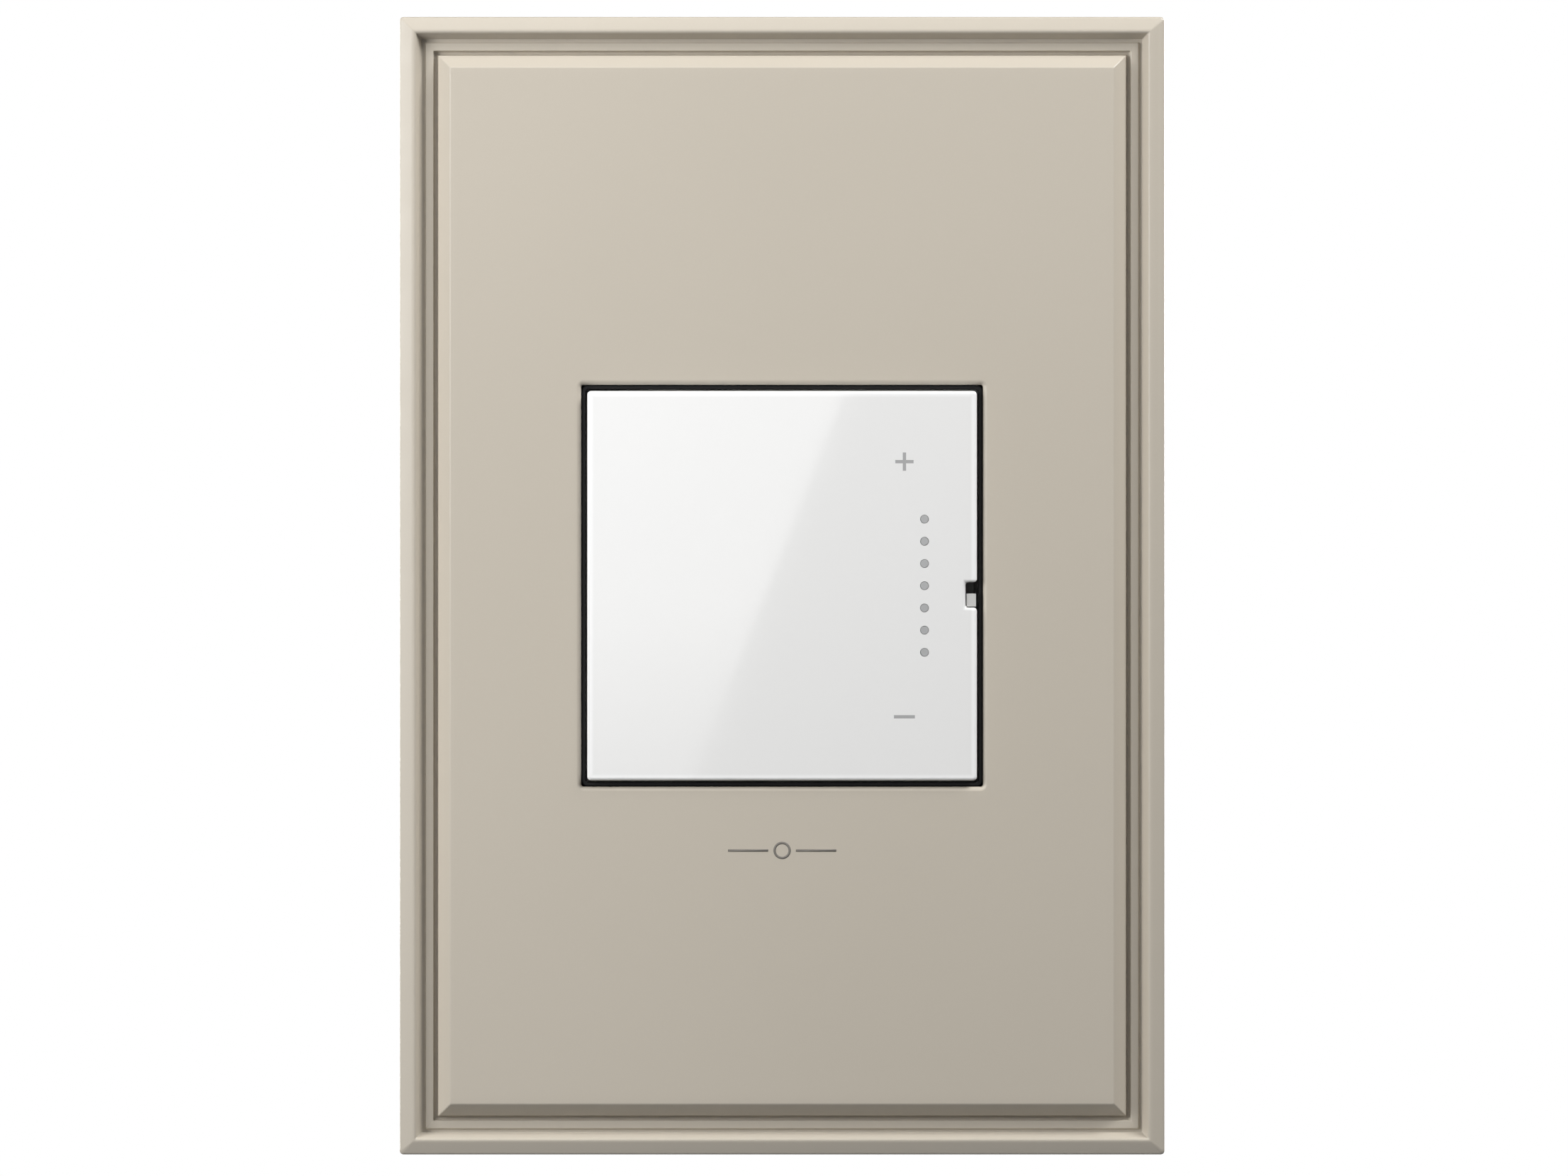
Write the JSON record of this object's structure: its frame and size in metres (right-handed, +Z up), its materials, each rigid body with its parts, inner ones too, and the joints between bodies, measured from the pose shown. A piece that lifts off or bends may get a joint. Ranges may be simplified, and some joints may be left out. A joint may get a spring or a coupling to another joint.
{
  "type": "dimmer switch",
  "caption": "Wall-mounted touch dimmer: a square glossy touch face with a row of level lights in a stepped, clip-on wall plate, with the module, strap and side terminals behind it.",
  "frame": {"origin": "on the wall's surface, midway between the two screws that hold the strap to the wall box", "axes": "+Z up the wall, +X to the right as seen from the front, +Y into the wall (the front faces -Y)"},
  "size_m": [0.0876, 0.0424, 0.1304],
  "materials": {
    "painted_plate": "satin paint, warm grey-beige",
    "black_plastic": "fine matte",
    "zinc_steel": "zinc plated, satin",
    "screw_steel": "nickel plated",
    "spring_steel": "bright spring steel",
    "white_gloss": "high gloss, white",
    "grey_print": "printed inlay, light grey",
    "clear_acrylic": "clear, polished",
    "amber_film": "thin polyester film with copper print",
    "carbon_rubber": "carbon-filled silicone",
    "green_board": "glass-epoxy board with solder mask",
    "tan_board": "phenolic board",
    "chip_black": "moulded epoxy",
    "led_ivory": "clear epoxy over ivory phosphor",
    "white_nylon": "fine satin",
    "fish_paper": "pressed board",
    "bare_aluminium": "rolled",
    "grey_silicone": "thermally conductive pad",
    "tinned_copper": "tin plated copper",
    "ferrite": "coated iron powder core",
    "enamelled_copper": "enamelled copper wire",
    "yellow_film": "moulded box",
    "blue_sleeve": "shrunk sleeve",
    "blue_epoxy": "dipped epoxy",
    "white_ceramic": "unglazed tube",
    "resistor_lacquer": "lacquered",
    "brass": "drawn strip",
    "silver_contact": "silver alloy",
    "black_screw": "black oxide",
    "brass_screw": "brass plated",
    "green_screw": "green lacquer"
  },
  "bodies": {
    "chassis": {"mounting_strap": "zinc_steel", "box_screws": "screw_steel", "plate_spring_clips": "spring_steel", "module_clips": "spring_steel", "ground_strip": "brass", "touch_lens": "white_gloss", "touch_marks": "grey_print", "light_guide": "clear_acrylic", "sensor_film": "amber_film", "sensor_contacts": "carbon_rubber", "led_shroud": "black_plastic", "level_leds": "led_ivory", "control_board": "green_board", "control_chips": "chip_black", "board_header": "black_plastic", "front_bezel": "white_nylon", "insulating_sheet": "fish_paper", "heat_spreader": "bare_aluminium", "thermal_pads": "grey_silicone", "transistor_tabs": "tinned_copper", "power_transistors": "chip_black", "transistor_screws": "screw_steel", "power_board": "tan_board", "choke_core": "ferrite", "choke_winding": "enamelled_copper", "film_capacitor": "yellow_film", "bulk_capacitor": "blue_sleeve", "varistor": "blue_epoxy", "fuse_link": "white_ceramic", "fuse_clips": "tinned_copper", "power_resistors": "resistor_lacquer", "air_gap_pin": "screw_steel", "air_gap_bracket": "brass", "fixed_contact": "brass", "contact_spring": "spring_steel", "rear_housing": "black_plastic", "housing_screws": "screw_steel", "line_terminal": "brass", "load_terminal": "brass", "traveler_terminal": "brass", "ground_terminal": "brass"},
    "plate_assembly": {"wall_plate": "painted_plate", "plate_liner": "black_plastic"},
    "air_gap_pull": {"air_gap_slider": "white_nylon"},
    "air_gap_lever": {"air_gap_arm": "brass", "moving_contact": "silver_contact"},
    "line_clamp": {"line_clamp_plate": "zinc_steel"},
    "line_terminal_screw": {"line_screw": "black_screw"},
    "load_clamp": {"load_clamp_plate": "zinc_steel"},
    "load_terminal_screw": {"load_screw": "brass_screw"},
    "traveler_clamp": {"traveler_clamp_plate": "zinc_steel"},
    "traveler_terminal_screw": {"traveler_screw": "brass_screw"},
    "ground_clamp": {"ground_clamp_plate": "zinc_steel"},
    "ground_terminal_screw": {"ground_screw": "green_screw"}
  },
  "joints": [
    {"name": "plate_release", "type": "slide", "parent": "chassis", "child": "plate_assembly", "axis": [0, -1, 0], "range_m": [0, 0.018], "deforming": ["plate_spring_clips"]},
    {"name": "air_gap_pull_slide", "type": "slide", "parent": "chassis", "child": "air_gap_pull", "axis": [0, -1, 0], "range_m": [0, 0.003]},
    {"name": "air_gap_arm_turn", "type": "hinge", "parent": "chassis", "child": "air_gap_lever", "pos_m": [0.009, 0.006, -0.0007], "axis": [0, 0, -1], "range_deg": [0, 16.4], "deforming": ["contact_spring"]},
    {"name": "line_clamp_slide", "type": "slide", "parent": "chassis", "child": "line_clamp", "axis": [1, 0, 0], "range_m": [0, 0.00198]},
    {"name": "line_screw_turn", "type": "hinge", "parent": "line_clamp", "child": "line_terminal_screw", "pos_m": [0.019, 0.022, 0.009], "axis": [1, 0, 0], "range_deg": [0, 900]},
    {"name": "load_clamp_slide", "type": "slide", "parent": "chassis", "child": "load_clamp", "axis": [1, 0, 0], "range_m": [0, 0.00198]},
    {"name": "load_screw_turn", "type": "hinge", "parent": "load_clamp", "child": "load_terminal_screw", "pos_m": [0.019, 0.022, -0.009], "axis": [1, 0, 0], "range_deg": [0, 900]},
    {"name": "traveler_clamp_slide", "type": "slide", "parent": "chassis", "child": "traveler_clamp", "axis": [-1, 0, 0], "range_m": [0, 0.00198]},
    {"name": "traveler_screw_turn", "type": "hinge", "parent": "traveler_clamp", "child": "traveler_terminal_screw", "pos_m": [-0.019, 0.022, 0.009], "axis": [-1, 0, 0], "range_deg": [0, 900]},
    {"name": "ground_clamp_slide", "type": "slide", "parent": "chassis", "child": "ground_clamp", "axis": [-1, 0, 0], "range_m": [0, 0.00198]},
    {"name": "ground_screw_turn", "type": "hinge", "parent": "ground_clamp", "child": "ground_terminal_screw", "pos_m": [-0.019, 0.022, -0.009], "axis": [-1, 0, 0], "range_deg": [0, 900]}
  ],
  "couplings": [
    {"joint": "air_gap_arm_turn", "follows": "air_gap_pull_slide", "rad_per_m": 95.404},
    {"joint": "line_screw_turn", "follows": "line_clamp_slide", "rad_per_m": 7913.3},
    {"joint": "load_screw_turn", "follows": "load_clamp_slide", "rad_per_m": 7913.3},
    {"joint": "traveler_screw_turn", "follows": "traveler_clamp_slide", "rad_per_m": 7913.3},
    {"joint": "ground_screw_turn", "follows": "ground_clamp_slide", "rad_per_m": 7913.3}
  ]
}
